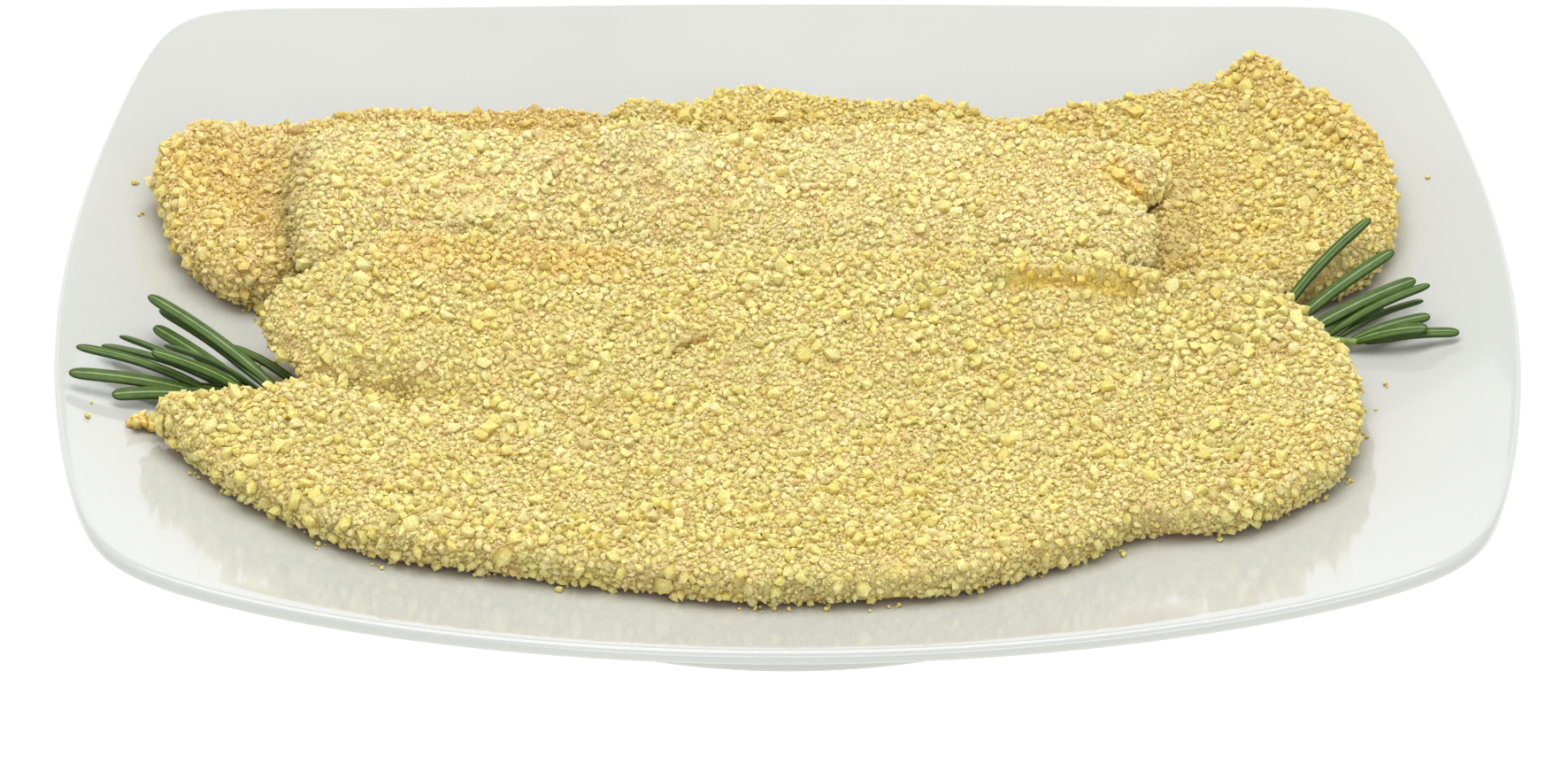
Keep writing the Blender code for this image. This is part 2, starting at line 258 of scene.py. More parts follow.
def rimCrest(form):
    angle = np.linspace(0, 2 * np.pi, 5760, endpoint=False)
    power = form["squareness"]
    reach = (np.abs(np.cos(angle)) ** power + np.abs(np.sin(angle)) ** power) ** (-1 / power)
    u, v = reach * np.cos(angle), reach * np.sin(angle)
    loop = np.stack([
        form["halfLength"] * u * (1 - form["endBow"] * v**2),
        form["halfWidth"] * v * (1 - form["sideBow"] * u**2),
    ], axis=1)
    closed = np.vstack([loop, loop[:1]])
    step = np.diff(closed, axis=0)
    heading = np.unwrap(np.arctan2(step[:, 1], step[:, 0]))
    turn = np.abs(np.diff(np.append(heading, heading[0] + 2 * np.pi)))
    travelled = np.concatenate([[0], np.cumsum(np.hypot(*step.T) + 55 * turn)])
    at = np.linspace(0, travelled[-1], form["points"], endpoint=False)
    return np.stack([np.interp(at, travelled, closed[:, axis]) for axis in (0, 1)], axis=1)


def plateRings(form):
    crest = rimCrest(form)
    angle = np.arctan2(crest[:, 1], crest[:, 0])
    foot = form["footRadius"] * np.stack([np.cos(angle), np.sin(angle)], axis=1)
    outward = crest / np.linalg.norm(crest, axis=1)[:, None]

    def ring(plan, height):
        return np.column_stack([plan, height])

    def upper(plan):
        return ring(plan, plateTop(*plan.T))

    def lower(share):
        plan = foot + share * (crest - foot)
        wall = form["wallAtFoot"] + share * (form["wallAtRim"] - form["wallAtFoot"])
        return ring(plan, plateTop(*plan.T) - wall)

    flat = np.zeros(len(crest))
    rings = [upper(foot * share) for share in np.linspace(0, 1, 12)]
    rings += [upper(foot + share * (crest - foot)) for share in np.linspace(0, 0.985, 14)[1:]]
    radius = form["lipRadius"]
    for turn in np.radians(np.linspace(78, -66, 9)):
        plan = crest + radius * math.cos(turn) * outward
        rings.append(ring(plan, plateTop(*crest.T) - radius * (1 - math.sin(turn))))
    rings += [lower(share) for share in np.linspace(0.93, 0.03, 10)]
    rings += [ring(foot * share, flat + height) for share, height in ((0.995, 1.2), (0.990, 0.3), (0.985, 0.0))]
    inner = 1 - form["footWidth"] / form["footRadius"]
    rings += [ring(foot * inner * share, flat + height) for share, height in ((1.005, 0), (1, 0.3), (0.985, 5), (0.97, 6))]
    rings += [ring(foot * share, flat + form["footRecess"]) for share in (0.6, 0.3, 0.0)]
    return rings


def glazeMaterial():
    material, tree, shader = newMaterial("porcelain", IOR=1.5, Coat_Weight=0.25, Coat_Roughness=0.03)
    place = tree.nodes.new("ShaderNodeTexCoord")
    split = tree.nodes.new("ShaderNodeSeparateXYZ")
    tree.links.new(place.outputs["Object"], split.inputs[0])
    glazed = tree.nodes.new("ShaderNodeMapRange")  # the foot ring's sole is left bare of glaze
    glazed.inputs["From Min"].default_value = 0.1 * mm
    glazed.inputs["From Max"].default_value = 0.5 * mm
    tree.links.new(split.outputs["Z"], glazed.inputs["Value"])
    cloud = noiseAt(tree, place.outputs["Object"], 22.0)
    tones = ramp(tree.nodes, [(0.3, plateForm["colour"]), (0.7, paint(197, 198, 192))])
    tree.links.new(cloud.outputs["Fac"], tones.inputs["Fac"])
    clay = mixColour(tree, "MIX", glazed.outputs["Result"], plateForm["footColour"], tones.outputs["Color"])
    tree.links.new(clay, shader.inputs["Base Color"])
    rough = tree.nodes.new("ShaderNodeMapRange")
    rough.inputs["To Min"].default_value = 0.6
    rough.inputs["To Max"].default_value = 0.09
    tree.links.new(glazed.outputs["Result"], rough.inputs["Value"])
    tree.links.new(rough.outputs["Result"], shader.inputs["Roughness"])
    ripple = noiseAt(tree, place.outputs["Object"], 45.0, 1.0)
    bumpInto(tree, shader, ripple.outputs["Fac"], 0.15, 0.2 * mm)
    return material


def makePlate():
    rings = plateRings(plateForm)
    count = plateForm["points"]

    def place(u, v):
        return Vector(rings[round(v * (len(rings) - 1))][round(u * count) % count]) * mm

    bm = rolledGrid(count, len(rings) - 1, place)
    return addPiece("platePorcelain", meshFrom(bm, "platePorcelain"), glazeMaterial(), "porcelain", "plate")


plate = makePlate()
print("plate made")


# schnitzels: a rough core of meat and fine crumb, then loose angular crumbs pressed into it

# zones: what is special, from where to where, how wide, how strong; lumps and creases in millimetres
crusts = {
    "schnitzel_back_left": {
        "piece": "crustBackLeft", "slot": "crumb_deep", "seed": 11, "voxel": 0.52, "toneShift": 0.0,
        "tint": paint(252, 246, 236),
        "grains": [("crumbsBackLeft", "coarse", 3400), ("", "fine", 8000)],
        "zones": [
            ("lump", (-110, 46), (-105, 24), 2.5, -1.3),
            ("lump", (-99, 46), (-97, 22), 4.0, 1.2),
            ("bare", (-115, 36), (-109, 30), 5.0, 0.8),
            ("egg", (-115, 36), (-107, 28), 4.0, 0.3),
            ("salmon", (-105, 48), (-99, 24), 8.0, 0.6),
            ("salmon", (-60, 64), (-35, 64), 5.0, 0.4),
            ("pale", (-113, 48), (-96, 48), 5.0, 0.8),
            ("big", (-118, 38), (-106, 12), 7.0, 0.3),
        ],
    },
    "schnitzel_back_right": {
        "piece": "crustBackRight", "slot": "crumb_golden", "seed": 23, "voxel": 0.55, "toneShift": 0.03,
        "tint": paint(250, 246, 230),
        "grains": [("crumbsBackRight", "coarse", 5200), ("", "fine", 11000)],
        "zones": [
            ("lump", (91, 74), (92, 75), 2.6, 2.2),
            ("lump", (99, 72), (101, 68), 4.0, -1.6),
            ("lump", (75, 39), (73, 27), 4.5, 4.0),
            ("pale", (75, 39), (73, 27), 4.5, 0.8),
            ("big", (92, 70), (112, 36), 11.0, 0.4),
            ("big", (80, 34), (92, 24), 6.0, 0.3),
            ("bare", (75, 42), (74, 10), 5.5, 0.95),
            ("grey", (75, 42), (74, 10), 5.5, 0.5),
            ("bare", (86, 39), (90, 37), 5.0, 0.7),
            ("egg", (86, 26), (91, 24), 2.5, 0.5),
            ("salmon", (94, 72), (113, 40), 5.0, 0.6),
        ],
    },
    "schnitzel_middle": {
        "piece": "crustMiddle", "slot": "crumb_pale", "seed": 37, "voxel": 0.6, "toneShift": -0.04,
        "tint": paint(256, 257, 254),
        "grains": [("crumbsMiddle", "coarse", 5500), ("", "fine", 10500)],
        "zones": [
            ("lump", (61, 37), (69, 36), 3.0, 0.9),
            ("egg", (62, 34), (67, 28), 2.2, 0.8),
            ("crack", (64, 30), (67, 27), 0.7, 0.6),
            ("crack", (34, 36), (43, 30), 0.5, 1.0),
            ("grey", (-95, 5), (-93, 32), 4.5, 1.0),
            ("lump", (-86, 8), (-86, 34), 4.0, 1.0),
            ("bare", (-94, 5), (-90, 36), 4.0, 0.6),
            ("bare", (-82, 30), (-68, 29), 9.0, 0.75),
            ("bare", (-56, 25), (-44, 37), 9.0, 0.6),
            ("bare", (-5, 36), (30, 40), 8.0, 0.6),
            ("pale", (-86, 38), (20, 44), 7.0, 0.5),
            ("pale", (70, 36), (72, 28), 3.5, 0.8),
            ("big", (-78, 28), (50, 36), 12.0, -0.12),
        ],
    },
    "schnitzel_front": {
        "piece": "crustFront", "slot": "crumb_yellow", "seed": 53, "voxel": 0.76, "toneShift": -0.02,
        "tint": paint(252, 252, 240),
        "grains": [("crumbsFrontCoarse", "coarse", 9800), ("crumbsFrontFine", "fine", 24000)],
        "zones": [
            ("lump", (38, -5), (68, -6.5), 1.2, 2.6),
            ("bare", (41, -7.4), (67, -8.8), 1.2, 0.9),
            ("egg", (42, -7.4), (65, -8.7), 1.2, 0.85),
            ("lump", (-18, -22), (-12, -20), 3.5, 1.6),
            ("crack", (-31, -16), (-33, -20), 0.5, 1.0),
            ("crack", (-21, -26), (-15, -24), 0.5, 1.1),
            ("lump", (-86, -30), (-71, -32), 2.0, -2.2),
            ("lump", (-71, -32), (-55, -38), 2.6, -1.7),
            ("lump", (-84, -21), (-62, -25), 5.0, 1.4),
            ("lump", (-94, -39), (-68, -44), 5.0, 0.7),
            ("lump", (52, -28), (84, -36), 12.0, 0.8),
            ("lump", (-20, -62), (30, -66), 10.0, -0.8),
            ("salmon", (-72, -1), (-31, 2), 6.0, 0.9),
            ("bare", (-76, -38), (-58, -44), 5.0, 0.6),
            ("pale", (-84, -40), (-50, -48), 7.0, 0.9),
            ("pale", (38, -4.4), (68, -5.9), 1.0, 1.0),
            ("big", (-114, -46), (-96, -60), 7.0, 0.45),
            ("big", (-92, -72), (-40, -88), 6.0, 0.3),
            ("big", (72, -14), (92, -26), 8.0, 0.3),
        ],
    },
}
# painted light and shade among the zone tints: grey is painted shade on the middle piece's left cliff and beside its
# right end; crack is painted shade in the cracks; pale is partly paler crumbs and partly painted light on crests, tops
# and sides in shade. Egg and salmon are the crumbs' own colours.
zoneTints = {
    "egg": paint(255, 238, 180), "grey": paint(226, 219, 212), "salmon": paint(255, 244, 230),
    "crack": paint(200, 174, 116), "pale": paint(257, 258, 266),
}
crumbSizes = {
    "coarse": {
        "smallest": 0.8, "common": 1.18, "largest": 2.9, "spread": 0.34, "raised": 0.17, "room": 0.82,
        "form": "ico", "patch": 16.0, "thinned": 0.75,
    },
    "fine": {
        "smallest": 0.4, "common": 0.7, "largest": 1.1, "spread": 0.25, "raised": 0.15, "room": 0.7,
        "form": "octa", "patch": 16.0, "thinned": 0.0,
    },
}
relief = {
    "clumpSize": 4.6, "clumpHeight": 1.25,
    "pebbleSize": 1.8, "pebbleHeight": 0.5,
    "dip": 0.8,
}


def hashed(cells, seed):
    # three repeatable random numbers from 0 to 1 for each cell of a lattice
    mixed = (cells @ np.array([73856093, 19349663, 83492791]) + seed * 7919) & 0xFFFFFFFF
    numbers = []
    for _ in range(3):
        mixed = ((mixed ^ (mixed >> 16)) * 0x45D9F3B + 0x1B56C4E9) & 0xFFFFFFFF
        numbers.append(((mixed ^ (mixed >> 13)) & 0xFFFFFF) / 0xFFFFFF)
    return np.stack(numbers, axis=1)


def pebbles(points, size, seed):
    # rounded bumps round randomly placed centres: 0 in the cracks, up to 1 on top, and each bump's own number
    scaled = points / (size * mm)
    home = np.floor(scaled).astype(np.int64)
    nearest = np.full(len(points), 9.0)
    number = np.zeros(len(points))
    for step in itertools.product((-1, 0, 1), repeat=3):
        cells = home + step
        centre = hashed(cells, seed)
        gap = np.linalg.norm(cells + centre - scaled, axis=1)
        closer = gap < nearest
        nearest = np.where(closer, gap, nearest)
        number = np.where(closer, centre[:, 0], number)
    return np.clip(1 - nearest**2, 0, 1) * (0.45 + 0.55 * number), number


def readPoints(mesh, values="co"):
    source = mesh.vertices if values == "co" else mesh.vertex_normals
    array = np.empty(len(source) * 3, np.float32)
    source.foreach_get("co" if values == "co" else "vector", array)
    return array.reshape(-1, 3).astype(float)


def setMarks(mesh, tint, **marks):
    for name, values in marks.items():
        mesh.attributes.new(name, "FLOAT", "POINT").data.foreach_set("value", values.astype(np.float32))
    mesh.attributes.new("tint", "FLOAT_COLOR", "POINT").data.foreach_set("color", tint.ravel().astype(np.float32))


def zoneAmount(points, kind, zones):
    amount = np.zeros(len(points))
    for name, start, end, width, strength in zones:
        if name != kind:
            continue
        along = np.subtract(end, start)
        offset = points[:, :2] / mm - start
        share = np.clip(offset @ along / max(along @ along, 1e-9), 0, 1)
        gap = np.linalg.norm(offset - share[:, None] * along, axis=1)
        amount += strength * np.exp(-((gap / width) ** 2))
    return amount


def zoneTint(points, look):
    # the zone tints include painted shade (grey, crack) and painted light (pale)
    tint = np.tile(look["tint"], (len(points), 1))
    for kind, colour in zoneTints.items():
        amount = np.clip(zoneAmount(points, kind, look["zones"]), 0, 1)[:, None]
        tint *= 1 - amount * (1 - np.array(colour))
    return tint


def makeCore(node, look):
    bm = bmesh.new()
    bm.from_mesh(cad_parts[node].data)
    bmesh.ops.remove_doubles(bm, verts=bm.verts, dist=0.01 * mm)
    rough = bpy.data.objects.new("rough", meshFrom(bm, "rough"))
    bpy.context.collection.objects.link(rough)
    rounding = rough.modifiers.new("rounding", "SUBSURF")
    rounding.levels = rounding.render_levels = 2
    even = rough.modifiers.new("even", "REMESH")
    even.mode = "VOXEL"
    even.voxel_size = look["voxel"] * mm
    even.use_smooth_shade = True
    rounded = rough.modifiers.new("rounded", "SMOOTH")
    rounded.factor, rounded.iterations = 0.5, 18
    ready = rough.evaluated_get(bpy.context.evaluated_depsgraph_get())
    mesh = bpy.data.meshes.new_from_object(ready)
    mesh.name = look["piece"]
    bpy.data.objects.remove(rough)

    points, normals = readPoints(mesh), readPoints(mesh, "normals")
    clumps, _ = pebbles(points, relief["clumpSize"], look["seed"])
    grit, number = pebbles(points, relief["pebbleSize"], look["seed"] + 1)
    upward = np.clip(normals[:, 2:] * 1.5 + 1.0, 0.0, 1.0)  # the underside stays nearly flat
    rim = 1 + 0.7 * np.clip(1 - normals[:, 2], 0, 1)  # the clumps stand out more round the rim
    lift = relief["clumpHeight"] * clumps * rim + relief["pebbleHeight"] * grit - relief["dip"]
    lift += zoneAmount(points, "lump", look["zones"]) * (normals[:, 2] > 0)
    lift -= zoneAmount(points, "crack", look["zones"]) * (normals[:, 2] > 0)
    tint = zoneTint(points, look)
    points += normals * upward * lift[:, None] * mm
    floor = (plateTop(points[:, 0] / mm, points[:, 1] / mm) + 0.3) * mm
    gap = points[:, 2] - floor
    # painted shade: the downward faces close to the plate get a warm dark tint, partly moist egg, partly the contact
    # shadow
    tint *= np.where(((normals[:, 2] < -0.5) & (gap < 6 * mm))[:, None], crumbPaint["wetAndContactShade"], 1.0)
    sag = (normals[:, 2] < 0.3) * np.clip(1.6 - gap / (4 * mm), 0, 1)  # the rim of the underside droops onto the plate
    droop = sag * np.maximum(gap, 0)
    points[:, :2] -= normals[:, :2] * (0.45 * droop)[:, None]
    points[:, 2] -= 0.88 * droop
    mesh.vertices.foreach_set("co", points.ravel().astype(np.float32))
    tone = np.clip(0.25 + 0.5 * number + look["toneShift"], 0, 1)
    # painted shade: the crust is darker in the cracks between its bumps, less so where the egg shows
    depth = np.clip(0.7 - 0.9 * grit, 0, 1) * (1 - 0.75 * np.clip(zoneAmount(points, "egg", look["zones"]), 0, 1))
    setMarks(mesh, tone=tone, depth=depth, tint=tint)
    mesh.update()
    return mesh


def grainForm(kind):
    bm = bmesh.new()
    if kind == "ico":
        bmesh.ops.create_icosphere(bm, subdivisions=1, radius=0.5)
    else:
        bmesh.ops.create_uvsphere(bm, u_segments=4, v_segments=2, radius=0.5)
    bmesh.ops.triangulate(bm, faces=bm.faces)
    bmesh.ops.recalc_face_normals(bm, faces=bm.faces)
    points = np.array([vert.co for vert in bm.verts])
    triangles = np.array([[vert.index for vert in face.verts] for face in bm.faces])
    bm.free()
    return points, triangles


def unit(vectors):
    return vectors / (np.linalg.norm(vectors, axis=-1, keepdims=True) + 1e-12)


def turnedBy(rng, normals):
    # each grain lies roughly flat on the crust, turned at random about its normal
    upward = unit(normals + 0.3 * rng.normal(size=normals.shape))
    side = unit(np.cross(upward, rng.normal(size=normals.shape)))
    return np.stack([side, np.cross(upward, side), upward], axis=2)


def grainsAt(rng, centres, normals, sizes, kind):
    # one lumpy grain on each centre: points and triangles of them all
    points, triangles = grainForm(kind)
    count = len(centres)
    lumps = points[None] * (1 + 0.22 * rng.normal(size=(count, len(points), 1)))
    shape = rng.uniform(0.7, 1.32, (count, 3))
    lumps = lumps * (sizes[:, None] * shape)[:, None, :]
    lumps = np.einsum("nij,npj->npi", turnedBy(rng, normals), lumps)
    height = np.einsum("npi,ni->np", lumps, normals) / sizes[:, None]
    faces = triangles[None] + (np.arange(count) * len(points))[:, None, None]
    return (lumps + centres[:, None, :]).reshape(-1, 3), faces.reshape(-1, 3), height.ravel()


def joinedGrains(name, batches, tones, tints):
    points, faces, values, depths, colours, start = [], [], [], [], [], 0
    for (batchPoints, batchFaces, height), batchTones, batchTints in zip(batches, tones, tints):
        points.append(batchPoints)
        faces.append(batchFaces + start)
        corners = len(batchPoints) // len(batchTones)
        values.append(np.repeat(batchTones, corners))
        colours.append(np.repeat(batchTints, corners, axis=0))
        # painted shade: each grain gets darker towards its low side, where it sits among the others
        depths.append(np.clip(0.42 - 1.5 * height, 0, 1))
        start += len(batchPoints)
    mesh = bpy.data.meshes.new(name)
    mesh.from_pydata(np.vstack(points).tolist(), [], np.vstack(faces).tolist())
    setMarks(mesh, np.vstack(colours), tone=np.concatenate(values), depth=np.concatenate(depths))
    return mesh


def scattered(rng, mesh, count):
    # random points on the crust, evenly over its area, with the normals there; none on the underside
    mesh.calc_loop_triangles()
    corners = np.empty(len(mesh.loop_triangles) * 3, np.int32)
    mesh.loop_triangles.foreach_get("vertices", corners)
    corners = readPoints(mesh)[corners.reshape(-1, 3)]
    normals = np.cross(corners[:, 1] - corners[:, 0], corners[:, 2] - corners[:, 0])
    areas = np.linalg.norm(normals, axis=1)
    normals /= areas[:, None] + 1e-12
    areas = areas * (normals[:, 2] > -0.55) * np.where(normals[:, 2] < 0.6, 1.5, 1.0)  # more of them round the rims
    chosen = rng.choice(len(areas), count, p=areas / areas.sum())
    a, b = rng.random((2, count, 1))
    flip = a + b > 1
    a, b = np.where(flip, 1 - a, a), np.where(flip, 1 - b, b)
    tri = corners[chosen]
    return tri[:, 0] + a * (tri[:, 1] - tri[:, 0]) + b * (tri[:, 2] - tri[:, 0]), normals[chosen]


def settled(points, sizes, wanted, others):
    # the crumbs that find room: each keeps its distance, and none is where another piece covers the crust
    near = KDTree(len(points))
    for index, point in enumerate(points):
        near.insert(point, index)
    near.balance()
    free = np.ones(len(points), bool)
    keep = []
    for index, point in enumerate(points):
        start = Vector(point) + Vector((0, 0, 0.1 * mm))
        if not free[index] or any(tree.ray_cast(start, Vector((0, 0, 1)), 3.5 * mm)[0] for tree in others):
            continue
        keep.append(index)
        if len(keep) == wanted:
            break
        for _, neighbour, _ in near.find_range(point, sizes[index]):
            free[neighbour] = False
    return keep


def clearOfPlate(centres, sizes):
    floor = plateTop(centres[:, 0] / mm, centres[:, 1] / mm) * mm + 0.38 * sizes
    centres[:, 2] = np.maximum(centres[:, 2], floor)
    return centres


def makeGrains(look, mesh, others, material):
    batches, tones, tints, name = [], [], [], ""
    for number, (pieceName, kind, count) in enumerate(look["grains"]):
        rng = np.random.default_rng(look["seed"] * 10 + number)
        size = crumbSizes[kind]
        spots, normals = scattered(rng, mesh, count * 7)
        thin, _ = pebbles(spots, size["patch"], look["seed"] + 3)
        cracked = np.clip(zoneAmount(spots, "crack", look["zones"]), 0, 1)
        bare = np.clip(zoneAmount(spots, "bare", look["zones"]) + cracked, 0, 1)
        chance = 1 - np.maximum(bare, size["thinned"] * np.clip(1.2 - 2.4 * thin, 0, 1))
        here = rng.random(len(spots)) < (chance if kind == "coarse" else 1 - 0.6 * bare)
        spots, normals, thin = spots[here], normals[here], thin[here]
        sizes = size["common"] * (0.8 + 0.55 * thin) * np.exp(size["spread"] * rng.normal(size=len(spots)))
        sizes *= 1 + zoneAmount(spots, "big", look["zones"])
        sizes = np.clip(sizes, size["smallest"], size["largest"]) * mm
        keep = settled(spots, sizes * size["room"], count, others)
        spots, normals, sizes = spots[keep], normals[keep], sizes[keep]
        centres = clearOfPlate(spots + normals * sizes[:, None] * size["raised"], sizes)
        middle = 0.52 + 0.12 * (sizes / mm - 1.2) + look["toneShift"]  # the larger, the more yellow
        if pieceName and batches:
            addPiece(name, joinedGrains(name, batches, tones, tints), material, look["slot"])
            batches, tones, tints = [], [], []
        name = pieceName or name
        batches.append(grainsAt(rng, centres, normals, sizes, size["form"]))
        tones.append(np.clip(rng.normal(middle, 0.16), 0, 0.9 + look["toneShift"]))
        tints.append(zoneTint(spots, look))
        print(name, kind, len(keep))
    addPiece(name, joinedGrains(name, batches, tones, tints), material, look["slot"])


def makeSchnitzels():
    cores = {node: makeCore(node, look) for node, look in crusts.items()}
    print("crusts made")
    trees = {}
    for node, mesh in cores.items():
        mesh.calc_loop_triangles()
        faces = [tuple(triangle.vertices) for triangle in mesh.loop_triangles]
        trees[node] = BVHTree.FromPolygons([vert.co for vert in mesh.vertices], faces)
    for node, look in crusts.items():
        material = crumbMaterial(look["slot"])
        addPiece(look["piece"], cores[node], material, look["slot"], node)
        others = [tree for name, tree in trees.items() if name != node]
        makeGrains(look, cores[node], others, material)
        print("crumbs strewn on", look["piece"], "of", len(cores[node].loop_triangles), "triangles")


makeSchnitzels()


# rosemary: ribbed needles on a woody stem

leaf = {
    "width": 2.6,
    "thickness": 1.3,
    "bow": 0.05,
    "around": 20,
    "along": 22,
    "groove": 0.22,
    "top": paint(58, 84, 24),
    # painted highlights: the lighter green bands and the pale midline on the needles
    "highlightGreen": paint(90, 120, 42),
    "midlineHighlight": paint(168, 184, 116),
    "under": paint(134, 146, 106),
    "edge": paint(38, 60, 18),
    "stemRadius": 1.1,
}
sprigs = {
    "rosemary_left": {
        "stem": ((-76, -21), (-107, -31)),
        "seed": 5,
        "needles": [
            (0.42, (-104, -13, 20)), (0.56, (-119, -8, 28)), (0.60, (-117, -8, 25)),
            (0.72, (-118, -11, 23)), (0.66, (-115, -26, 28)), (0.74, (-117, -30, 29)),
            (0.86, (-124, -16, 24)), (0.80, (-127, -21, 25)), (0.92, (-131, -28, 29)),
            (0.96, (-132, -34, 27)), (0.78, (-114, -31, 22)), (0.98, (-124, -37, 24)),
        ],
    },
    "rosemary_right": {
        "stem": ((83, -2), (108, -12)),
        "seed": 9,
        "needles": [
            (0.26, (110, 13, 32)), (0.36, (114, 6, 29)), (0.48, (118, 2, 25)), (0.56, (112, 0, 20)),
            (0.68, (120, -5, 28)), (0.76, (119, -4, 24)), (0.86, (120, -8, 23)), (0.90, (119, -14, 24)),
            (0.98, (125, -14, 23)),
        ],
    },
}


def stemEnds(sprig):
    ends = []
    for x, y in sprig["stem"]:
        height = float(plateTop(np.float64(x), np.float64(y))) + leaf["stemRadius"] + 0.9
        ends.append(Vector((x, y, height)))
    return ends


def needleBody(base, tip, roll, width):
    axis = tip - base
    side = axis.cross(Vector((0, 0, 1))).normalized()
    side = Quaternion(axis.normalized(), roll) @ side
    upward = side.cross(axis).normalized()
    marks = {}

    def place(u, v):
        along = (1 - math.cos(math.pi * v)) / 2  # closer rings towards the blunt ends
        girth = (1 - abs(2 * along - 1) ** 11) ** 0.5 * (0.62 + 0.38 * min(along / 0.3, 1))
        angle = 2 * math.pi * u
        across = math.cos(angle)
        rise = math.sin(angle)
        height = math.copysign(abs(rise) ** 0.8, rise) * leaf["thickness"] / 2
        middle = math.exp(-((across / 0.2) ** 2))
        if rise > 0:
            height -= leaf["groove"] * middle
        else:
            height += 0.35 * (1 - abs(across)) - 0.3 * middle  # rolled margins and a raised rib
        bow = leaf["bow"] * axis.length * math.sin(math.pi * along)
        spot = base + axis * along + side * (across * girth * width / 2) + upward * (height * girth + bow)
        marks[tuple(round(value, 3) for value in spot)] = (across, along, 1.0 if rise < -0.05 else 0.0)
        return spot * mm

    bm = rolledGrid(leaf["around"], leaf["along"], place)
    across = bm.verts.layers.float.new("leafAcross")
    along = bm.verts.layers.float.new("leafAlong")
    under = bm.verts.layers.float.new("leafUnder")
    for vert in bm.verts:
        mark = marks.get(tuple(round(value, 3) for value in vert.co / mm), (0, 0, 0))
        vert[across], vert[along], vert[under] = mark
    return bm


def stemBody(start, end):
    axis = end - start
    side = axis.orthogonal().normalized()
    over = axis.cross(side).normalized()

    def place(u, v):
        radius = leaf["stemRadius"] * (1 - 0.35 * v) * (1 - abs(2 * v - 1) ** 12) ** 0.5
        knobs = 1 + 0.12 * math.sin(v * 26) * math.cos(2 * math.pi * u + v * 9)
        angle = 2 * math.pi * u
        return (start + axis * v + (side * math.cos(angle) + over * math.sin(angle)) * radius * knobs) * mm

    return rolledGrid(12, 24, place)


def leafColourGroup():
    group, given, result = newGroup(
        "leafColour",
        [("Across", "Float", 0.0), ("Along", "Float", 0.0), ("Under", "Float", 0.0)],
        [("Color", "Color"), ("Height", "Float")],
    )
    links = group.links
    size = group.nodes.new("ShaderNodeMath")
    size.operation = "ABSOLUTE"
    links.new(given.outputs["Across"], size.inputs[0])
    # painted highlights: a pale midline and lighter green bands across the top, and a lighter rib underneath
    top = ramp(group.nodes, [
        (0.0, leaf["midlineHighlight"]), (0.14, leaf["highlightGreen"]), (0.3, leaf["top"]),
        (0.75, leaf["highlightGreen"]), (1.0, leaf["edge"]),
    ])
    links.new(size.outputs[0], top.inputs["Fac"])
    below = ramp(group.nodes, [(0.0, leaf["highlightGreen"]), (0.2, leaf["under"]), (0.7, leaf["under"]), (1.0, leaf["top"])])
    links.new(size.outputs[0], below.inputs["Fac"])
    sides = mixColour(group, "MIX", given.outputs["Under"], top.outputs["Color"], below.outputs["Color"])
    place = group.nodes.new("ShaderNodeTexCoord")
    mottle = noiseAt(group, place.outputs["Object"], 420.0, 3.0, 0.6)
    shade = ramp(group.nodes, [(0.3, paint(205, 215, 200)), (0.7, (1, 1, 1, 1))])
    links.new(mottle.outputs["Fac"], shade.inputs["Fac"])
    mottled = mixColour(group, "MULTIPLY", 1.0, sides, shade.outputs["Color"])
    tips = ramp(group.nodes, [(0.0, paint(225, 235, 200)), (0.15, (1, 1, 1, 1)), (0.97, (1, 1, 1, 1)), (1.0, paint(200, 180, 130))])
    links.new(given.outputs["Along"], tips.inputs["Fac"])
    finished = mixColour(group, "MULTIPLY", 1.0, mottled, tips.outputs["Color"])
    links.new(finished, result.inputs["Color"])
    links.new(mottle.outputs["Fac"], result.inputs["Height"])
    return group


def leafMaterial():
    material, tree, shader = newMaterial("rosemaryLeaf", Roughness=0.45, Specular_IOR_Level=0.35)
    colour = tree.nodes.new("ShaderNodeGroup")
    colour.node_tree = leafColourGroup()
    for attribute, label in (("leafAcross", "Across"), ("leafAlong", "Along"), ("leafUnder", "Under")):
        mark = tree.nodes.new("ShaderNodeAttribute")
        mark.attribute_name = attribute
        tree.links.new(mark.outputs["Fac"], colour.inputs[label])
    tree.links.new(colour.outputs["Color"], shader.inputs["Base Color"])
    bumpInto(tree, shader, colour.outputs["Height"], 0.3, 0.1 * mm)
    return material


def makeSprigs():
    material = leafMaterial()
    for node, sprig in sprigs.items():
        rng = np.random.default_rng(sprig["seed"])
        start, end = stemEnds(sprig)
        whole = stemBody(start, end)
        joined = bpy.data.meshes.new(node + "Leaves")
        whole.to_mesh(joined)
        whole.free()
        gathered = bmesh.new()
        gathered.from_mesh(joined)
        for layer in ("leafAcross", "leafAlong", "leafUnder"):
            gathered.verts.layers.float.new(layer)
        for share, tip in sprig["needles"]:
            width = leaf["width"] * rng.uniform(0.88, 1.1)
            body = needleBody(start.lerp(end, share), Vector(tip), rng.uniform(-0.5, 0.5), width)
            part = bpy.data.meshes.new("needle")
            body.to_mesh(part)
            body.free()
            gathered.from_mesh(part)
            bpy.data.meshes.remove(part)
        gathered.to_mesh(joined)
        gathered.free()
        joined.shade_smooth()
        name = "rosemaryLeft" if node == "rosemary_left" else "rosemaryRight"
        addPiece(name, joined, material, "rosemary_leaf", node)
        print(name, "made")


makeSprigs()


# crumbs that fell on the plate: where each little group lies, how far it spreads and how many there are

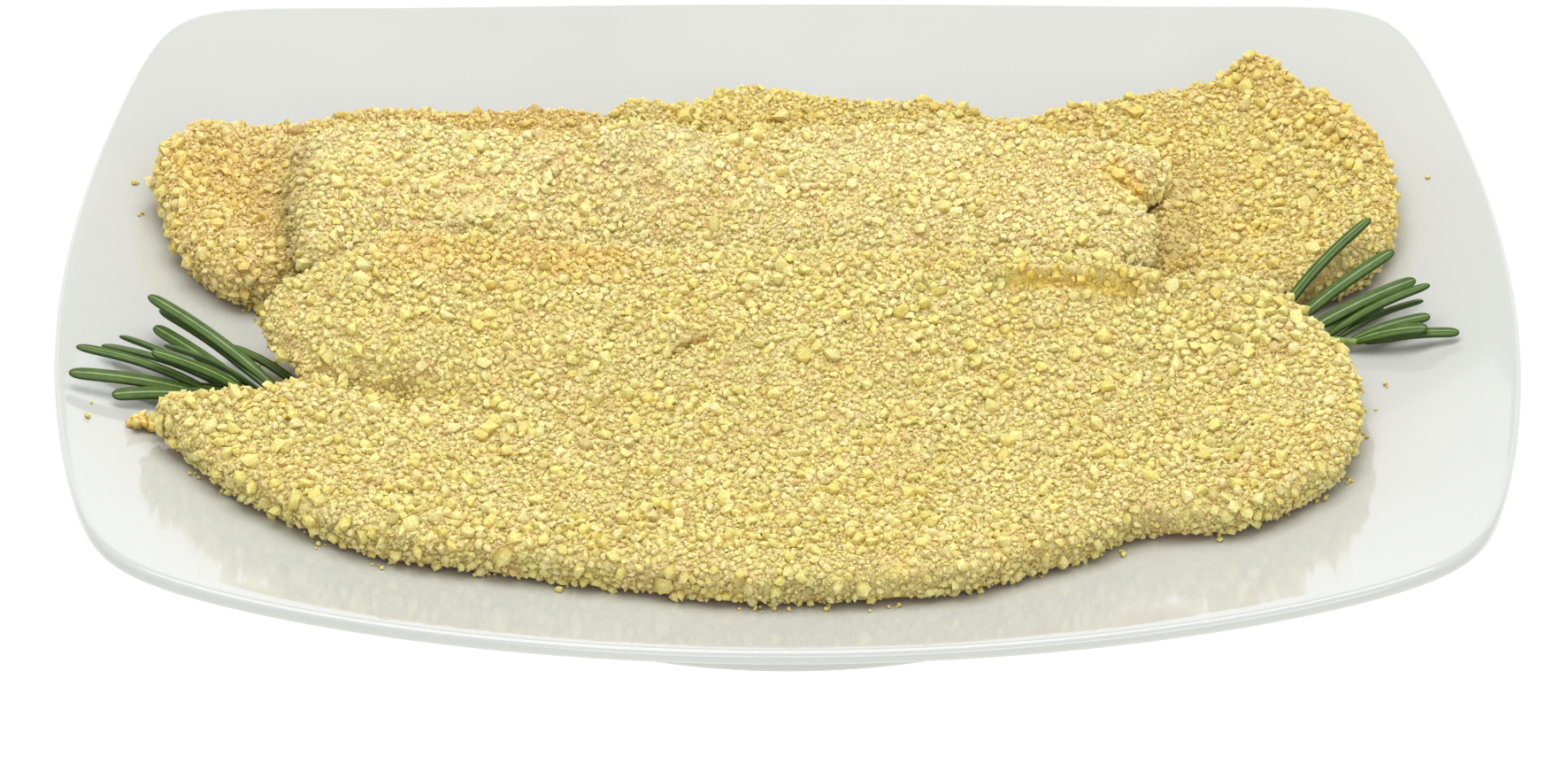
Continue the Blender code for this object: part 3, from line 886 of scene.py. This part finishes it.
fallen = {
    "groups": [
        (-101, 6, 2.5, 9), (-96, -13, 2.5, 8), (-125, 43, 0.8, 2), (-123, 33, 0.6, 2), (124, 45, 0.5, 1),
        (110, -25, 0.8, 2), (106, -43, 1.5, 4), (107, -33, 0.8, 2), (98, -59, 2.2, 14), (95, -62, 2.0, 9),
        (101, -60, 1.0, 4), (78, -73, 1.6, 9), (89, -67, 1.5, 5), (58, -77, 2.0, 5), (45, -86, 2.0, 6),
        (-6, -97, 2.0, 9), (17, -98, 1.5, 4), (7, -98, 1.0, 3), (-55, -87, 1.8, 7), (-85, -78, 2.0, 7),
        (-107, -58, 1.0, 3), (-103, -63, 0.8, 2), (-127, -38, 0.5, 1), (-128, -44, 0.5, 2), (-19, -94, 1.2, 4),
        (-40, -90, 1.2, 4), (-73, -86, 1.5, 4), (-119, -43, 1.2, 5), (112, 30, 0.8, 2),
    ],
    "smallest": 0.35,
    "largest": 1.15,
    "tint": paint(252, 255, 238),
    "lumpTint": paint(266, 252, 226),
    "seed": 71,
}


def makeFallenCrumbs():
    rng = np.random.default_rng(fallen["seed"])
    centres = []
    for x, y, spread, count in fallen["groups"]:
        for _ in range(count):
            centres.append((x + rng.normal() * spread, y + rng.normal() * spread, 0))
    centres = np.array(centres) * mm
    sizes = rng.uniform(fallen["smallest"], fallen["largest"], len(centres)) * mm
    centres[:, 2] = plateTop(centres[:, 0] / mm, centres[:, 1] / mm) * mm + 0.4 * sizes
    lump = (rng.normal(size=(40, 3)) * (1.5, 0.9, 0.4) + (-117.8, -43.2, 0.0)) * mm  # at the front piece's tip
    lumpSizes = rng.uniform(1.0, 2.1, len(lump)) * mm
    rise = rng.uniform(0.3, 2.1, len(lump)) * np.exp(-(((lump[:, 0] / mm + 117.8) / 2) ** 2))
    lump[:, 2] = plateTop(lump[:, 0] / mm, lump[:, 1] / mm) * mm + 0.42 * lumpSizes + rise * mm
    upright = np.array([[0.0, 0.0, 1.0]])
    batches = [
        grainsAt(rng, centres, np.repeat(upright, len(centres), axis=0), sizes, "ico"),
        grainsAt(rng, lump, np.repeat(upright, len(lump), axis=0), lumpSizes, "ico"),
    ]
    tones = [np.clip(rng.normal(0.75, 0.12, len(centres)), 0, 1), np.full(len(lump), 0.6)]
    tints = [np.tile(fallen["tint"], (len(centres), 1)), np.tile(fallen["lumpTint"], (len(lump), 1))]
    mesh = joinedGrains("fallenCrumbs", batches, tones, tints)
    addPiece("fallenCrumbs", mesh, crumbMaterial("fallenCrumb"), "crumb_yellow")


makeFallenCrumbs()
print("fallen crumbs made")


# floor, light and camera

studio = {
    "floorSize": 6.0,
    "floorGlow": 0.80,
    "worldColour": paint(252, 253, 255),
    "worldStrength": 0.63,
    "lights": [
        # name, place, aimed at, size, power
        ("key", (-0.03, 0.05, 1.05), (0, 0, 0), (1.0, 0.8), 9.0),
        ("backdrop", (0.0, 1.6, 0.42), (0, 0, 0.42), (3.0, 0.8), 6.0),
        ("fill", (0.3, -1.5, 0.7), (0, 0, 0), (1.2, 0.6), 5.7),
    ],
    "cameraPlace": (-0.0107, -1.2436, 0.7583),
    "cameraTurn": (58.763, -0.106, -0.403),
    "cameraLens": 176.9,
}


def makeStudio():
    bm = bmesh.new()
    bmesh.ops.create_grid(bm, x_segments=1, y_segments=1, size=studio["floorSize"] / 2)
    for vert in bm.verts:
        vert.co.z = cadBounds[0].z - 0.05 * mm
    floor = bpy.data.objects.new("tableTop", meshFrom(bm, "tableTop", smooth=False))
    bpy.context.collection.objects.link(floor)
    material, tree, shader = newMaterial("tableWhite", Roughness=0.9)
    shader.inputs["Base Color"].default_value = (0.35, 0.35, 0.35, 1)
    shader.inputs["Emission Color"].default_value = (1, 1, 1, 1)
    shader.inputs["Emission Strength"].default_value = studio["floorGlow"]
    floor.data.materials.append(material)

    world = bpy.data.worlds.new("studioAir")
    bpy.context.scene.world = world
    world.use_nodes = True
    sky = world.node_tree.nodes["Background"]
    sky.inputs["Color"].default_value = studio["worldColour"]
    sky.inputs["Strength"].default_value = studio["worldStrength"]

    for name, place, aim, size, power in studio["lights"]:
        light = bpy.data.lights.new(name, "AREA")
        light.shape = "RECTANGLE"
        light.size, light.size_y = size
        light.energy = power
        lamp = bpy.data.objects.new(name, light)
        lamp.location = place
        lamp.visible_camera = False
        lamp.rotation_euler = (Vector(aim) - Vector(place)).to_track_quat("-Z", "Y").to_euler()
        bpy.context.collection.objects.link(lamp)

    camera = bpy.data.objects.new("camera", bpy.data.cameras.new("camera"))
    camera.data.lens = studio["cameraLens"]
    camera.data.sensor_width = 36
    camera.data.clip_start = 0.1
    camera.location = studio["cameraPlace"]
    camera.rotation_euler = [math.radians(angle) for angle in studio["cameraTurn"]]
    bpy.context.collection.objects.link(camera)
    bpy.context.scene.camera = camera
    bpy.context.scene.view_settings.view_transform = "Standard"


makeStudio()
print("studio made")
